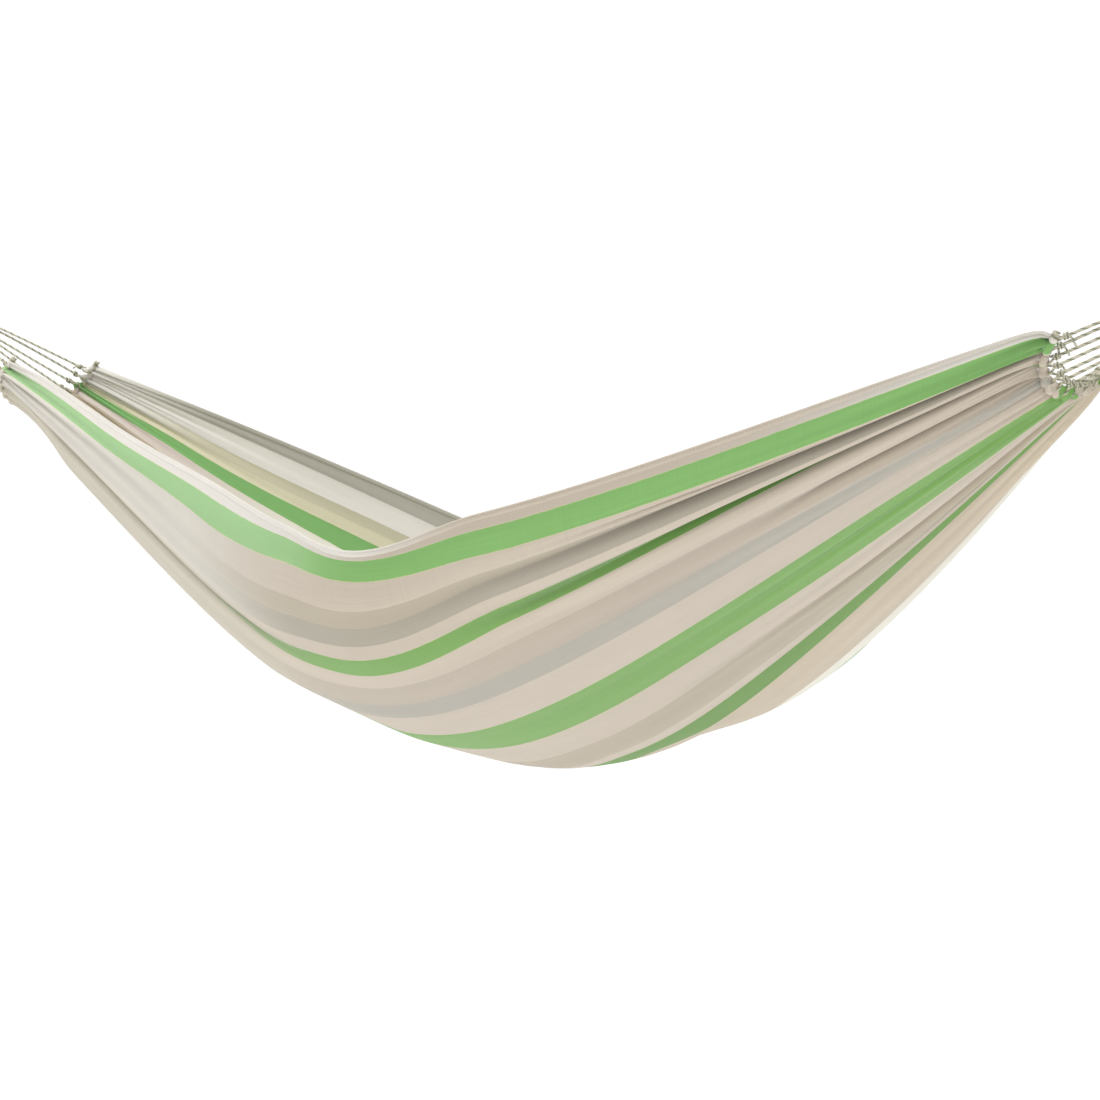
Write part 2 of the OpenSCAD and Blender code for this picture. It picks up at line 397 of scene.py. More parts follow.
def cloth_surface(t, v, fine=True):
    """Points of the folded cloth on a grid: t is a column, v is a row."""
    place = warp(t, v)
    w = 2 * place - 1
    along, _, outward = bed_directions(t, w)
    height = tuck_height(t, v) + fold_height(t, place, fine) + swell_height(t, v)
    points = bed_point(t, w) + height[..., None] * outward
    points[..., 2] += rim_lift(t, v)
    cut = SCALLOP_CUT * scallop(place) - SCALLOP_OVERHANG
    for side in SIDES:
        fade = np.exp(-end_distance(side, t) / SCALLOP_CUT_REACH)
        points = points + (INWARD[side] * cut * fade)[..., None] * along
    return points


def painted_crease_shade(t, v, reach=0.022):
    """How much painted shade the cloth gets: 0 on a ridge, 1 in a deep hollow or a strip of painted
    shade.
    """
    place = warp(t, v)
    height = tuck_height(t, v) + fold_height(t, place, fine=False)
    hollow = np.zeros_like(height)
    for k in range(len(height)):
        low = np.interp(place[k] - reach, place[k], height[k])
        high = np.interp(place[k] + reach, place[k], height[k])
        hollow[k] = (low + high) / 2 - height[k]
    # Strips of more painted shade, and one of less
    for side, centre, half, start, full, amount in SHADE_STRIPS:
        hollow = hollow + amount * strength(side, t, start, full) * bump((v - centre) / half)
    return np.clip(EVEN_CREASE + hollow / DEEP_CREASE, 0, 1)


def end_line(side, count=420):
    """The channel's centre line along a gathered end: places across the bed, points, and the
    directions away from the cloth."""
    t = np.full((1, 1), 0.0 if side == "left" else 1.0)
    v = np.linspace(0, 1, count)[None, :]
    place = warp(t, v)[0]
    _, across, outward = bed_directions(t[0], 2 * place - 1)
    away = -INWARD[side] * unit(np.cross(outward, across))
    return place, cloth_surface(t, v, fine=False)[0] + CHANNEL_R * away, away


def grid_normals(points):
    across = np.gradient(points, axis=1)
    along = np.gradient(points, axis=0)
    return unit(np.cross(across, along))


# ---- mesh helpers ----

def new_object(name, points, faces, uv=None):
    """A smooth mesh object; uv holds one pair for each point."""
    mesh = bpy.data.meshes.new(name)
    mesh.from_pydata([tuple(p) for p in points], [], faces)
    mesh.validate()
    if uv is not None:
        layer = mesh.uv_layers.new(name="lay")
        corner = np.empty(len(mesh.loops), np.int32)
        mesh.loops.foreach_get("vertex_index", corner)
        layer.data.foreach_set("uv", np.asarray(uv, np.float32)[corner].ravel())
    mesh.polygons.foreach_set("use_smooth", [True] * len(mesh.polygons))
    mesh.update()
    piece = bpy.data.objects.new(name, mesh)
    bpy.context.scene.collection.objects.link(piece)
    return piece


def grid_faces(rows, cols, first=0, flip=False):
    i, j = np.meshgrid(np.arange(rows - 1), np.arange(cols - 1), indexing="ij")
    a = (first + i * cols + j).ravel()
    quads = np.stack([a, a + cols, a + cols + 1, a + 1], axis=1)
    return (quads[:, ::-1] if flip else quads).tolist()


def shell_object(name, middle, normals, thickness, uv):
    """Closed thin shell about a grid of points."""
    rows, cols = middle.shape[:2]
    total = rows * cols
    outer = (middle + normals * thickness / 2).reshape(-1, 3)
    inner = (middle - normals * thickness / 2).reshape(-1, 3)
    border = (
        [(0, j) for j in range(cols)]
        + [(i, cols - 1) for i in range(1, rows)]
        + [(rows - 1, j) for j in range(cols - 2, -1, -1)]
        + [(i, 0) for i in range(rows - 2, 0, -1)]
    )
    ring = [i * cols + j for i, j in border]
    rim = [(b, a, a + total, b + total) for a, b in zip(ring, ring[1:] + ring[:1])]
    faces = grid_faces(rows, cols, flip=True) + grid_faces(rows, cols, first=total) + rim
    return new_object(name, np.concatenate([outer, inner]), faces, np.concatenate([uv, uv]))


def lengths_along(path):
    """Distance of each point of a path from its start."""
    steps = np.linalg.norm(np.diff(path, axis=0), axis=1)
    return np.concatenate([[0], np.cumsum(steps)])


def path_sides(path):
    """Two side vectors at each point of a path, turned as little as possible along it."""
    tangents = unit(np.gradient(path, axis=0))
    first = np.empty_like(path)
    start = np.cross(tangents[0], (0.0, 0.0, 1.0))
    if np.linalg.norm(start) < 0.1:
        start = np.cross(tangents[0], (0.0, 1.0, 0.0))
    first[0] = start / np.linalg.norm(start)
    for i in range(1, len(path)):
        carried = first[i - 1] - tangents[i] * (first[i - 1] @ tangents[i])
        first[i] = carried / np.linalg.norm(carried)
    return first, np.cross(tangents, first)


def resample(path, step):
    """Points along a path, about step apart."""
    path = np.asarray(path, float)
    along = lengths_along(path)
    at = np.linspace(0, along[-1], max(2, int(round(along[-1] / step)) + 1))
    return np.stack([np.interp(at, along, path[:, k]) for k in range(3)], axis=1)


def smoothed(path, rounds=2):
    """A path with its corners cut, ends kept."""
    path = np.asarray(path, float)
    for _ in range(rounds):
        cut = np.empty((2 * len(path) - 2, 3))
        cut[0::2] = 0.75 * path[:-1] + 0.25 * path[1:]
        cut[1::2] = 0.25 * path[:-1] + 0.75 * path[1:]
        path = np.concatenate([path[:1], cut, path[-1:]])
    return path


def rings(path, first, second, r_first, r_second, turn, sides):
    """Points, faces and uv (metres along, share of a turn) of a closed tube of rings. turn gives
    the angle of each ring's first point from its distance along the path."""
    along = lengths_along(path)
    angle = 2 * math.pi * np.arange(sides)[None, :] / sides + turn(along)[:, None]
    points = (
        path[:, None, :]
        + (r_first * np.cos(angle))[..., None] * first[:, None, :]
        + (r_second * np.sin(angle))[..., None] * second[:, None, :]
    )
    rows = len(path)
    a = np.arange(rows - 1)[:, None] * sides + np.arange(sides)[None, :]
    b = np.arange(rows - 1)[:, None] * sides + (np.arange(sides)[None, :] + 1) % sides
    faces = np.stack([a, b, b + sides, a + sides], axis=-1).reshape(-1, 4).tolist()
    faces.append(list(range(sides - 1, -1, -1)))
    faces.append(list(range((rows - 1) * sides, rows * sides)))
    uv = np.stack([np.repeat(along, sides), np.tile(np.arange(sides) / sides, rows)], axis=1)
    return points.reshape(-1, 3), faces, uv


# Depth of the grooves between the strands of a laid cord, as a share of its radius
GROOVE = 0.20


def laid_tube(path, radius, strands, pitch, sides, start_turn):
    """A laid cord: its strands twist by one turn in each pitch."""
    first, second = path_sides(path)
    ridge = np.sqrt(np.abs(np.cos(strands * math.pi * np.arange(sides) / sides)))
    r = radius * (1 - GROOVE + GROOVE * ridge)[None, :]

    def turn(along):
        return start_turn + 2 * math.pi * along / pitch

    return rings(path, first, second, r, r, turn, sides)


def thin_tube(path, radius, start_turn=0.0):
    """Laid cord of a knot, loop or free end."""
    return laid_tube(resample(path, 0.0014), radius, strands=3, pitch=0.011, sides=10,
                     start_turn=start_turn)


def joined(name, parts):
    """One object from several (points, faces, uv)."""
    points, faces, uv = [], [], []
    first = 0
    for p, f, u in parts:
        faces += [[first + k for k in face] for face in f]
        first += len(p)
        points.append(p)
        uv.append(u)
    return new_object(name, np.concatenate(points), faces, np.concatenate(uv))


def laid_cord(name, paths, radius, strands=3, pitch=0.014, step=0.0017, sides=12):
    """One object that holds a laid cord along each of the paths, each turned a little further."""
    return joined(name, [
        laid_tube(resample(path, step), radius, strands, pitch, sides, start_turn=1.7 * n)
        for n, path in enumerate(paths)
    ])


def coil(start, axis, radius, turns, length, start_turn=0.0, per_turn=16):
    """Points of a helix whose axis runs from start."""
    axis = unit(np.asarray(axis, float))
    askew = (0.31, 0.2, 0.93)
    side = unit(np.cross(axis, askew))
    other = np.cross(axis, side)
    q = np.linspace(0, 1, int(turns * per_turn) + 1)[:, None]
    a = start_turn + 2 * math.pi * turns * q
    return start + axis * length * q + radius * (np.cos(a) * side + np.sin(a) * other)


# ---- materials ----

def srgb(red, green, blue):
    """Linear colour of an sRGB one that is given from 0 to 255."""
    def linear(c):
        c = c / 255
        return c / 12.92 if c <= 0.04045 else ((c + 0.055) / 1.055) ** 2.4
    return (linear(red), linear(green), linear(blue), 1.0)


class Nodes:
    """Short calls that add and link the nodes of one material."""

    def __init__(self, name):
        self.material = bpy.data.materials.new(name)
        self.material.use_nodes = True
        self.tree = self.material.node_tree
        self.shader = self.tree.nodes["Principled BSDF"]

    def add(self, kind, inputs=(), **settings):
        node = self.tree.nodes.new("ShaderNode" + kind)
        for key, value in settings.items():
            setattr(node, key, value)
        for key, value in dict(inputs).items():
            self.feed(node.inputs[key], value)
        return node

    def feed(self, socket, value):
        if isinstance(value, bpy.types.NodeSocket):
            self.tree.links.new(value, socket)
        else:
            socket.default_value = value

    def math(self, operation, a, b=0.0, c=0.0):
        node = self.add("Math", operation=operation)
        for socket, value in zip(node.inputs, (a, b, c)):
            self.feed(socket, value)
        return node.outputs[0]

    def total(self, base, *parts):
        """base plus each value times its weight."""
        for value, weight in parts:
            base = self.math("MULTIPLY_ADD", value, weight, base)
        return base

    def mix_colour(self, share, a, b, blend="MIX"):
        node = self.add("Mix", data_type="RGBA", blend_type=blend)
        self.feed(node.inputs["Factor"], share)
        self.feed(node.inputs["A"], a)
        self.feed(node.inputs["B"], b)
        return node.outputs["Result"]

    def shaded(self, colour, tone):
        grey = self.add("CombineColor", {"Red": tone, "Green": tone, "Blue": tone}).outputs[0]
        return self.mix_colour(1.0, colour, grey, "MULTIPLY")

    def noise(self, vector, scale, detail=2.0):
        node = self.add("TexNoise", {"Vector": vector, "Scale": scale, "Detail": detail})
        return node.outputs["Fac"]

    def streaks(self, vector, scale, detail=3.0):
        """Noise that is scaled by its own amount along each axis."""
        stretched = self.add("Mapping", {"Vector": vector, "Scale": scale}).outputs[0]
        return self.noise(stretched, 1.0, detail)

    def lay(self):
        """The uv map, and its two axes."""
        uv = self.add("UVMap", uv_map="lay").outputs["UV"]
        axes = self.add("SeparateXYZ", {"Vector": uv})
        return uv, axes.outputs["X"], axes.outputs["Y"]

    def bump(self, height, strength, distance, normal=None):
        node = self.add("Bump", {"Height": height, "Strength": strength, "Distance": distance})
        if normal is not None:
            self.feed(node.inputs["Normal"], normal)
        return node.outputs["Normal"]

    def finish(self, **inputs):
        for key, value in inputs.items():
            self.feed(self.shader.inputs[key.replace("_", " ")], value)
        return self.material


# Yarn colours. The far wall's are painted lighter than the near wall's, as painted light on the lit
# inside of the far wall
CREAM = srgb(196, 184, 168)
# The cream, painted warmer and a little darker as painted warm shade
WARM_CREAM = srgb(196, 182, 160)
RIM_GREEN = srgb(131, 180, 106)
GREEN = srgb(119, 164, 85)
SHADED_GREEN = srgb(101, 145, 60)
# Green of the far wall, painted lighter as painted light
FAR_GREEN = srgb(126, 177, 107)
TAUPE = srgb(180, 169, 150)
GREY = srgb(168, 161, 146)
TAN = srgb(183, 171, 155)
BLUE_GREY = srgb(172, 166, 154)
# Tan, warm, khaki, pale and dark grey of the far wall, painted lighter as painted light
FAR_TAN = srgb(230, 226, 213)
WARM = srgb(216, 211, 182)
KHAKI = srgb(203, 198, 173)
PALE = srgb(239, 234, 228)
DARK_GREY = srgb(190, 186, 177)
EDGE_YARN = srgb(206, 204, 156)
GREENS = (RIM_GREEN, GREEN, SHADED_GREEN, FAR_GREEN)

# How they look with painted light and shade: mostly lighter, as painted light where the cloth is
# lit, and the far tan darker, as painted shade
RIM_AS_LIT = srgb(217, 212, 203)
GREEN_AS_LIT = srgb(148, 190, 128)
PALE_AS_LIT = srgb(206, 200, 188)
SOFT_AS_LIT = srgb(195, 188, 170)
TAN_AS_LIT = srgb(208, 196, 186)
TIP_AS_LIT = srgb(226, 223, 215)

# Stripes from the near rim to the far rim: where each starts, as a share of the cloth's width,
# its colour, and its colour with painted light and shade
STRIPES = (
    (0.000, CREAM, RIM_AS_LIT),
    (0.018, RIM_GREEN, GREEN_AS_LIT),
    (0.052, CREAM, PALE_AS_LIT),
    (0.079, TAUPE, PALE_AS_LIT),
    (0.100, GREY, PALE_AS_LIT),
    (0.128, CREAM, SOFT_AS_LIT),
    (0.152, GREEN, SOFT_AS_LIT),
    (0.190, CREAM, SOFT_AS_LIT),
    (0.236, TAN, SOFT_AS_LIT),
    (0.300, BLUE_GREY, SOFT_AS_LIT),
    (0.356, CREAM, CREAM),
    (0.444, GREEN, GREEN),
    (0.532, CREAM, CREAM),
    (0.606, TAUPE, TAUPE),
    (0.672, CREAM, CREAM),
    (0.696, SHADED_GREEN, SHADED_GREEN),
    (0.744, WARM_CREAM, WARM_CREAM),
    (0.804, FAR_TAN, TAN_AS_LIT),
    (0.842, FAR_GREEN, FAR_GREEN),
    (0.877, WARM, WARM),
    (0.900, KHAKI, TIP_AS_LIT),
    (0.924, PALE, PALE),
    (0.972, DARK_GREY, TIP_AS_LIT),
)
# How unevenly the stripes' edges run. Yarn along the edges of the green ones: its half width as a
# share of the cloth's width, and how much of its colour shows
EDGE_WANDER = 0.0016
EDGE_YARN_HALF_W = 0.0006
EDGE_YARN_SHARE = 0.45

# Where light and shade are painted on the cloth: from and to which share of its width, and the
# shares of the way along it where the painted light and shade are full and where the cloth has its
# own colour
NEAR_RIM_LIGHT_ZONES = ((0.000, 0.018, 0.53, 0.62), (0.000, 0.018, 0.98, 0.78))
FAR_RIM_LIGHT_ZONES = ((0.900, 1.000, 0.02, 0.12),)
OTHER_LIGHT_ZONES = (
    (0.018, 0.052, 0.525, 0.575),
    (0.052, 0.356, 0.36, 0.54),
    (0.800, 0.900, 0.06, 0.24),
)

YARN_PITCH = 0.0011
# Stitches of the rolled hems: their pitch, the share of it that shows thread, and the place of
# the row round the hem, with its half width
STITCH_PITCH = 0.0042
STITCH_SHARE = 0.62
STITCH_ROW = 0.36
STITCH_ROW_HALF_W = 0.07


def painted_light_share(n, along, fade):
    """1 where the painted light and shade are full, 0 where the cloth has its own colour."""
    _, _, full, gone = fade
    return n.add("MapRange", {
        "Value": n.math("DIVIDE", along, CLOTH_L), "From Min": gone, "From Max": full,
    }, interpolation_type="SMOOTHSTEP").outputs["Result"]


def stripe_colour(n, share, along):
    """Colour of the cloth at a share of its width."""
    _, colour, pale = STRIPES[0]
    for start, yarn, as_lit in STRIPES[1:]:
        past = n.math("GREATER_THAN", share, start)
        colour = n.mix_colour(past, colour, yarn)
        pale = n.mix_colour(past, pale, as_lit)
    # Painted light and shade: lighter colours where the cloth is lit, and a darker one at the far
    # wall's left tip
    for fade in NEAR_RIM_LIGHT_ZONES + FAR_RIM_LIGHT_ZONES + OTHER_LIGHT_ZONES:
        past = n.math("GREATER_THAN", share, fade[0])
        within = n.math("MULTIPLY", past, n.math("LESS_THAN", share, fade[1]))
        colour = n.mix_colour(n.math("MULTIPLY", within, painted_light_share(n, along, fade)), colour, pale)
    for (start, yarn, _), (end, _, _) in zip(STRIPES, STRIPES[1:]):
        if yarn in GREENS:
            for at in (start, end):
                line = n.math("COMPARE", share, at, EDGE_YARN_HALF_W)
                colour = n.mix_colour(n.math("MULTIPLY", line, EDGE_YARN_SHARE), colour, EDGE_YARN)
    return colour


def cloth_material():
    """Striped plain weave. The uv map holds metres across and along the cloth."""
    n = Nodes("striped_cotton")
    uv, across, along = n.lay()
    wander = n.math("MULTIPLY", n.math("SUBTRACT", n.noise(uv, 60.0), 0.5), EDGE_WANDER)
    share = n.math("DIVIDE", n.math("ADD", across, wander), CLOTH_W)
    colour = stripe_colour(n, share, along)

    # Uneven yarn: fine streaks along the warp and across it, and soft broad shades
    warp_streaks = n.streaks(uv, (900.0, 6.0, 1.0))
    weft_streaks = n.streaks(uv, (8.0, 700.0, 1.0))
    broad = n.streaks(uv, (14.0, 3.0, 1.0))
    tone = n.total(0.76, (warp_streaks, 0.20), (weft_streaks, 0.12), (broad, 0.16))

    # Painted shade: the hollows of the folds are darker than their ridges, and the ridges a little
    # lighter than even cloth
    crease_shade = n.add("Attribute", attribute_name="crease_shade").outputs["Fac"]
    tone = n.math("MULTIPLY", tone, n.total(1.03, (crease_shade, -0.36)))

    # Plain weave: one bump for each crossing of two yarns, and a slight unevenness
    waves = [
        n.math("SINE", n.math("MULTIPLY", way, 2 * math.pi / YARN_PITCH))
        for way in (across, along)
    ]
    normal = n.bump(n.math("MULTIPLY", *waves), 0.35, 0.0004)
    normal = n.bump(n.noise(uv, 45.0, 4.0), 0.25, 0.0015, normal)
    return n.finish(
        Base_Color=n.shaded(colour, tone), Roughness=n.total(0.84, (warp_streaks, 0.12)),
        Normal=normal, Sheen_Weight=0.25, Sheen_Roughness=0.5, Specular_IOR_Level=0.2,
    )


def hem_material(name, yarn, as_lit, light_zones):
    """Rolled cotton edge with a row of stitches. The uv map holds metres along and share round."""
    n = Nodes(name)
    uv, along, round_ = n.lay()
    half_round = n.math("FRACT", n.math("MULTIPLY", round_, 2.0))
    row = n.math("COMPARE", half_round, STITCH_ROW, STITCH_ROW_HALF_W)
    dash = n.math("LESS_THAN", n.math("FRACT", n.math("DIVIDE", along, STITCH_PITCH)), STITCH_SHARE)
    stitch = n.math("MULTIPLY", row, dash)
    yarns = n.streaks(uv, (500.0, 9.0, 1.0))
    shade = n.streaks(uv, (11.0, 2.0, 1.0), 2.0)
    tone = n.total(0.74, (yarns, 0.24), (shade, 0.20), (stitch, -0.12))
    colour = yarn
    # Painted light: the hem is lighter along the stretches where it is lit
    for fade in light_zones:
        colour = n.mix_colour(painted_light_share(n, along, fade), colour, as_lit)
    height = n.total(0.0, (yarns, 0.4), (stitch, -1.0))
    return n.finish(Base_Color=n.shaded(colour, tone), Roughness=n.total(0.82, (yarns, 0.14)),
                    Normal=n.bump(height, 0.5, 0.0005), Sheen_Weight=0.25, Specular_IOR_Level=0.2)


def cord_material(name, light, dark, strands=3):
    """Laid cord. The uv map holds metres along the cord and the share of a turn round it."""
    n = Nodes(name)
    uv, _, round_ = n.lay()
    strand = n.math("FLOOR", n.total(0.5, (round_, float(strands))))
    which = n.math("MODULO", strand, float(strands))
    odd = n.math("COMPARE", which, 1.0, 0.5)
    fibres = n.streaks(uv, (260.0, 40.0, 1.0), 4.0)
    mottle = n.streaks(uv, (90.0, 3.0, 1.0), 2.0)
    colour = n.mix_colour(n.total(0.0, (odd, 0.55), (mottle, 0.6)), light, dark)
    tone = n.total(0.75, (fibres, 0.5))
    return n.finish(Base_Color=n.shaded(colour, tone), Roughness=n.total(0.8, (fibres, 0.15)),
                    Normal=n.bump(fibres, 0.5, 0.0004), Sheen_Weight=0.2, Specular_IOR_Level=0.2)


def steel_material():
    """Dull zinc with spangles and fine scratches."""
    n = Nodes("galvanised_steel")
    place = n.add("TexCoord").outputs["Object"]
    spangle = n.add("TexVoronoi", {"Vector": place, "Scale": 320.0}).outputs["Distance"]
    scratches = n.streaks(place, (60.0, 1400.0, 60.0), 4.0)
    share = n.total(0.0, (spangle, 0.5), (scratches, 0.5))
    colour = n.mix_colour(share, srgb(140, 142, 144), srgb(196, 198, 198))
    return n.finish(Base_Color=colour, Metallic=1.0, Roughness=n.total(0.28, (scratches, 0.25)),
                    Normal=n.bump(scratches, 0.15, 0.0002))


def floor_material():
    """Pale floor with a little light of its own."""
    n = Nodes("pale_floor")
    pale = (0.92, 0.92, 0.92, 1.0)
    return n.finish(Base_Color=pale, Roughness=0.9, Emission_Color=pale, Emission_Strength=0.46)


CLOTH = cloth_material()
NEAR_HEM = hem_material("near_hem_cotton", CREAM, RIM_AS_LIT, NEAR_RIM_LIGHT_ZONES)
FAR_HEM = hem_material("far_hem_cotton", DARK_GREY, TIP_AS_LIT, FAR_RIM_LIGHT_ZONES)
CORD = cord_material("twisted_cord", srgb(226, 219, 200), srgb(122, 126, 98))
EYE_ROPE = cord_material("eye_rope", srgb(214, 200, 168), srgb(176, 158, 120))
TWINE = cord_material("whipping_twine", srgb(232, 226, 210), srgb(206, 198, 176), 2)


def dress(piece, material, body, replaced=()):
    """Gives a finished piece its material and body, and hides the CAD nodes that it stands for."""
    piece.data.materials.clear()
    piece.data.materials.append(material)
    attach(piece, body)
    if replaced:
        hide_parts(*replaced)
    return piece


# ---- harness ----

def mirrored(side, point):
    """A point of the left neck, or its mirror image at the right."""
    x, y, z = point
    return np.array((x if side == "left" else EYE_SPAN - x, y, z))


def bundle_point(side, i, x):
    """Centre of cord i in the bundle: four cords form a core, and the others a ring round it."""
    numbers = range(1, CORD_COUNT + 1)
    ring = [k for k in numbers if (k in CORE_CORDS) == (i in CORE_CORDS)]
    radius = CORE_RING_R if i in CORE_CORDS else OUTER_RING_R
    angle = math.radians(360 * (ring.index(i) + 0.5) / len(ring) - 180)
    return mirrored(side, (x, radius * math.sin(angle), -radius * math.cos(angle)))


END_LINES = {side: end_line(side) for side in SIDES}


def cord_goal(side, i):
    """Where cord i holds the channel: its centre there, and the way back to the bundle."""
    place, line, _ = END_LINES[side]
    share = (i - 0.5) / CORD_COUNT
    centre = np.array([np.interp(share, place, line[:, k]) for k in range(3)])
    return centre, unit(bundle_point(side, i, BUNDLE_END) - centre)


def cord_path(side, i):
    """Straight out of the bundle, then to the knot with a slight bow of its own."""
    draw = np.random.default_rng(100 * SIDES.index(side) + i)
    start = bundle_point(side, i, BUNDLE_END)
    centre, back = cord_goal(side, i)
    end = centre + KNOT_AT * back
    bow = draw.uniform(-CORD_BOW, CORD_BOW, 3)
    turn = start + np.array((INWARD[side] * BUNDLE_LEAD, 0, 0))
    run = [mix(turn, end, q) + bow * math.sin(math.pi * q) for q in np.linspace(0, 1, 9)]
    return smoothed([start, *run], 2)


def make_cords():
    for side in SIDES:
        for i in range(1, CORD_COUNT + 1):
            node = f"{side}_harness_cord_{i:02d}"
            path = cord_path(side, i)
            piece = laid_cord(node + "_laid", [path], CORD_R)
            dress(piece, CORD, "hammock", [node])


def loop_path(centre, back, tangent):
    """Loop that goes round the channel and closes at the knot."""
    over = unit(np.cross(back, tangent))
    knot = centre + KNOT_AT * back
    r = CHANNEL_R + CORD_R + LOOP_ROOM
    wrap = math.radians(125)
    arc = [
        centre + r * (-math.cos(a) * back + math.sin(a) * over)
        for a in np.linspace(-wrap, wrap, 21)
    ]
    return smoothed([knot, *arc, knot], 1)


def tail_path(start, back, way, length):
    """Short free end that leaves the knot and droops."""
    course = 0.75 * way + 0.25 * back
    droop = np.array((0, 0, -0.35 * length))
    return [start + q * length * course + q * q * droop for q in np.linspace(0, 1, 6)]


def knot_parts(line, centre, back, draw):
    """Loop, wraps and free end of one harness cord."""
    nearest = int(np.argmin(np.linalg.norm(line - centre, axis=1)))
    reach = 6
    tangent = unit(line[min(nearest + reach, len(line) - 1)] - line[max(nearest - reach, 0)])
    turn = draw.uniform(0, 2 * math.pi)
    wraps = coil(centre + (KNOT_AT - WRAP_LEAD) * back, back, WRAP_R, WRAP_TURNS, WRAP_L, turn)
    way = unit(wraps[-1] - (centre + (KNOT_AT - WRAP_LEAD + WRAP_L) * back))
    tail = tail_path(wraps[-1], back, way, draw.uniform(*TAIL_L))
    return [
        thin_tube(loop_path(centre, back, tangent), LOOP_CORD_R, turn),
        thin_tube(wraps, WRAP_CORD_R, turn),
        thin_tube(tail, TAIL_CORD_R, turn),
    ]


def make_knots():
    """Loops, wraps and free ends where the harness cords hold the gathered ends."""
    for side in SIDES:
        draw = np.random.default_rng(7 + SIDES.index(side))
        parts = []
        for i in range(1, CORD_COUNT + 1):
            parts += knot_parts(END_LINES[side][1], *cord_goal(side, i), draw)
        dress(joined(f"{side}_cord_loops", parts), CORD, "hammock")


def make_bundles():
    for side in SIDES:
        paths = [
            [bundle_point(side, i, BUNDLE_START), bundle_point(side, i, BUNDLE_END + BUNDLE_LAP)]
            for i in range(1, CORD_COUNT + 1)
        ]
        piece = laid_cord(f"{side}_bundle_cords", paths, CORD_R)
        dress(piece, CORD, "hammock", [f"{side}_cord_bundle"])


# ---- eyes ----

def make_whippings():
    """Twine wound tightly round the legs of each eye and the head of the harness."""
    for side in SIDES:
        length = WHIPPING_END - WHIPPING_START - 2 * TWINE_R
        turns = length / (2 * TWINE_R)
        start = (WHIPPING_START + TWINE_R, 0, 0)
        path = coil(start, (1, 0, 0), WHIPPING_R - TWINE_R, turns, length, per_turn=36)
        path = np.array([mirrored(side, p) for p in path])
        # A little thick, so that the turns touch
        twine = laid_tube(path, TWINE_R * 1.03, strands=2, pitch=0.009, sides=8, start_turn=0.0)
        dress(joined(f"{side}_wound_twine", [twine]), TWINE, "eyes",
              [f"{side}_whipping"])


def eye_path(side):
    """Rope's route: one leg, round the thimble, and back along the other leg."""
    wrap = math.radians(128)
    turn = [
        (EYE_LOOP_R * math.cos(a), EYE_LOOP_R * math.sin(a))
        for a in np.linspace(math.pi - wrap, math.pi + wrap, 25)
    ]
    # From deep in the whipping to the thimble: along X, and away from the legs' straight lines
    leg = [(0.077, 0.0), (0.062, 0.0), (0.050, 0.0006), (0.038, 0.005)]
    upper = [(x, EYE_LEG_Z + z) for x, z in leg]
    lower = [(x, -z) for x, z in reversed(upper)]
    return smoothed([mirrored(side, (x, 0.0, z)) for x, z in upper + turn + lower], 3)


def make_eye_ropes():
    for side in SIDES:
        piece = laid_cord(f"{side}_laid_eye_rope", [eye_path(side)], EYE_ROPE_R, pitch=0.034,
                          step=0.0016, sides=24)
        dress(piece, EYE_ROPE, "eyes", [f"{side}_eye_rope"])


def finish_thimbles():
    """Gives the CAD thimbles their steel."""
    steel = steel_material()
    for side in SIDES:
        node = frame["nodes"][f"{side}_thimble"]
        node.data.materials.clear()
        node.data.materials.append(steel)


# ---- cloth ----

def make_cloth():
    """The sheet, with its rows closer together near both ends."""
    rows, cols = 150, 318
    crowding = 0.28
    s = np.linspace(-1, 1, rows)
    t = (0.5 + 0.5 * ((1 - crowding) * s + crowding * np.sin(math.pi * s / 2)))[:, None]
    v = np.linspace(0, 1, cols)[None, :]
    points = cloth_surface(t, v)
    uv = np.stack(np.broadcast_arrays(v * CLOTH_W, t * CLOTH_L), axis=-1).reshape(-1, 2)
    piece = shell_object("striped_cloth", points, grid_normals(points), CLOTH_T, uv)
    # Painted shade in the hollows of the folds, and a little painted light on the ridges, kept on
    # the mesh for the cloth's colour
    crease_shade = piece.data.attributes.new("crease_shade", "FLOAT", "POINT")
    crease_shade.data.foreach_set("value", np.tile(painted_crease_shade(t, v).ravel(), 2).astype(np.float32))
    dress(piece, CLOTH, "hammock", ["bed_cloth"])
    return piece, points


def square_to(tangent, vectors):
    """Unit vectors across a path, as near as can be to the given ones."""
    return unit(vectors - tangent * np.sum(vectors * tangent, axis=1, keepdims=True))


def make_side_hem(name, edge, inner, material, node):
    """Flat rolled hem along one rim of the cloth."""
    tangent = unit(np.gradient(edge, axis=0))
    outward = square_to(tangent, unit(edge - inner))
    up = np.cross(tangent, outward)
    path = edge - SIDE_HEM_INSET * outward
    hem = rings(path, outward, up, SIDE_HEM_HALF_W, SIDE_HEM_HALF_T, np.zeros_like, 16)
    return dress(joined(name, [hem]), material, "hammock", [node])


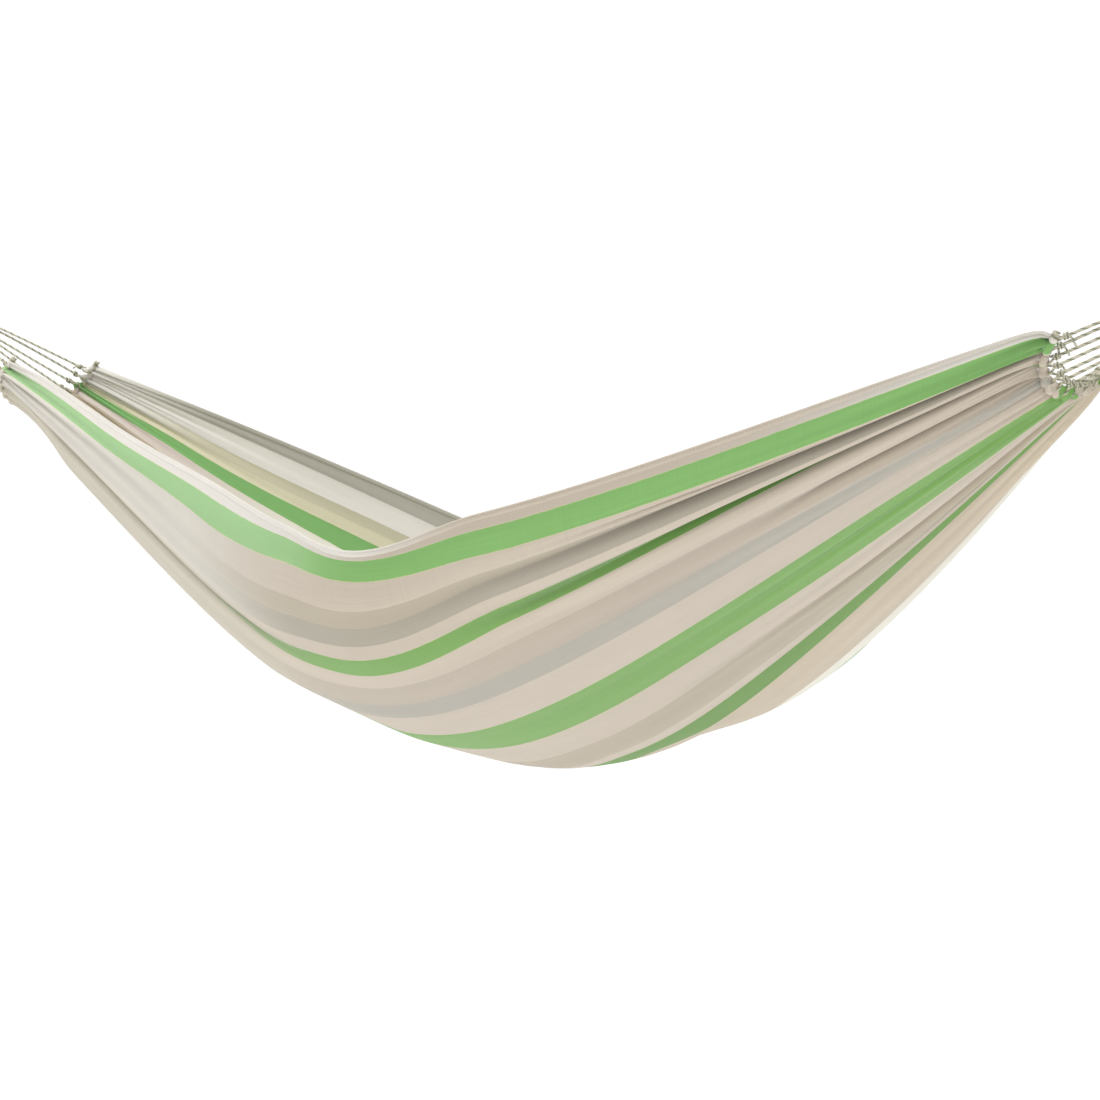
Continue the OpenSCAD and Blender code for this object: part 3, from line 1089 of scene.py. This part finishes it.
def make_channel(side):
    """The cloth's end, turned round the header cord and stitched down."""
    sides = 18
    place, line, away = END_LINES[side]
    tangent = unit(np.gradient(line, axis=0))
    first = square_to(tangent, away)
    second = np.cross(tangent, first)
    angle = np.linspace(-math.pi, math.pi, sides + 1)[None, :]
    radial = (
        np.cos(angle)[..., None] * first[:, None, :]
        + np.sin(angle)[..., None] * second[:, None, :]
    )
    pucker = PUCKER_HEIGHT * uneven_waves(place[:, None], PUCKERS, 0.8 * np.sin(angle))
    middle = line[:, None, :] + (CHANNEL_R - CLOTH_T / 2 + pucker)[..., None] * radial
    v = np.linspace(0, 1, len(line))[:, None]
    end = 0.0 if side == "left" else CLOTH_L
    uv = np.stack(np.broadcast_arrays(v * CLOTH_W, end + CHANNEL_R * (angle + math.pi)), axis=-1)
    uv = uv.reshape(-1, 2)
    piece = shell_object(f"{side}_gathered_channel", middle, radial, CLOTH_T * 0.8, uv)
    return dress(piece, CLOTH, "hammock", [f"{side}_end_hem"])


def make_header_cord(side):
    """Cord inside the channel, with a stopper knot at each end."""
    line = END_LINES[side][1]
    parts = [
        laid_tube(resample(line, 0.0016), HEADER_CORD_R, strands=3, pitch=0.016, sides=12,
                  start_turn=0.0)
    ]
    for end, before in ((line[0], line[4]), (line[-1], line[-5])):
        way = unit(end - before)
        knot = coil(end + STOPPER_GAP * way, way, STOPPER_R, STOPPER_TURNS, STOPPER_L)
        parts.append(thin_tube(knot, STOPPER_CORD_R))
    piece = joined(f"{side}_laid_header_cord", parts)
    return dress(piece, CORD, "hammock", [f"{side}_header_cord"])


# ---- stage ----

def make_stage():
    """Round pale floor whose rim sweeps up out of sight."""
    floor_z = -1.5
    flat_r = 12.0
    sweep_r = 8.0
    sides = 64
    profile = [(r, 0.0) for r in (0.01, flat_r / 3, 2 * flat_r / 3, flat_r)]
    profile += [
        (flat_r + sweep_r * math.sin(a), sweep_r * (1 - math.cos(a)))
        for a in np.linspace(0.1, math.pi / 2, 12)
    ]
    centre = Vector((EYE_SPAN / 2, 0.0, floor_z))
    turns = [2 * math.pi * k / sides for k in range(sides)]
    points = [
        centre + Vector((r * math.cos(a), r * math.sin(a), z))
        for r, z in profile
        for a in turns
    ]
    faces = [tuple(range(sides))]
    for i in range(len(profile) - 1):
        for k in range(sides):
            n = (k + 1) % sides
            faces.append((i * sides + k, (i + 1) * sides + k, (i + 1) * sides + n, i * sides + n))
    floor = new_object("studio_floor", points, faces)
    floor.data.materials.append(floor_material())


def area_light(name, place, target, size, power):
    data = bpy.data.lights.new(name, "AREA")
    data.shape = "RECTANGLE"
    data.size, data.size_y = size
    data.energy = power
    light = bpy.data.objects.new(name, data)
    bpy.context.scene.collection.objects.link(light)
    light.location = place
    light.rotation_euler = (Vector(target) - Vector(place)).to_track_quat("-Z", "Y").to_euler()


def make_light():
    middle = (EYE_SPAN / 2, 0.0, -0.4)
    area_light("key_light", (-2.2, -2.6, 2.2), middle, (2.2, 2.2), 30.0)
    area_light("top_light", (EYE_SPAN / 2, -0.9, 3.0), middle, (2.6, 1.6), 90.0)
    world = bpy.data.worlds.new("studio")
    world.use_nodes = True
    background = world.node_tree.nodes["Background"]
    background.inputs["Color"].default_value = (1.0, 1.0, 1.0, 1.0)
    background.inputs["Strength"].default_value = 0.52
    bpy.context.scene.world = world
    bpy.context.scene.view_settings.view_transform = "Standard"


make_cords()
make_bundles()
make_knots()
make_whippings()
make_eye_ropes()
finish_thimbles()
cloth, cloth_points = make_cloth()
on_cloth = [
    make_side_hem("near_rolled_hem", cloth_points[:, 0], cloth_points[:, 1],
                  NEAR_HEM, "near_side_hem"),
    make_side_hem("far_rolled_hem", cloth_points[:, -1], cloth_points[:, -2],
                  FAR_HEM, "far_side_hem"),
]
for side in SIDES:
    on_cloth += [make_channel(side), make_header_cord(side)]
make_stage()
make_light()
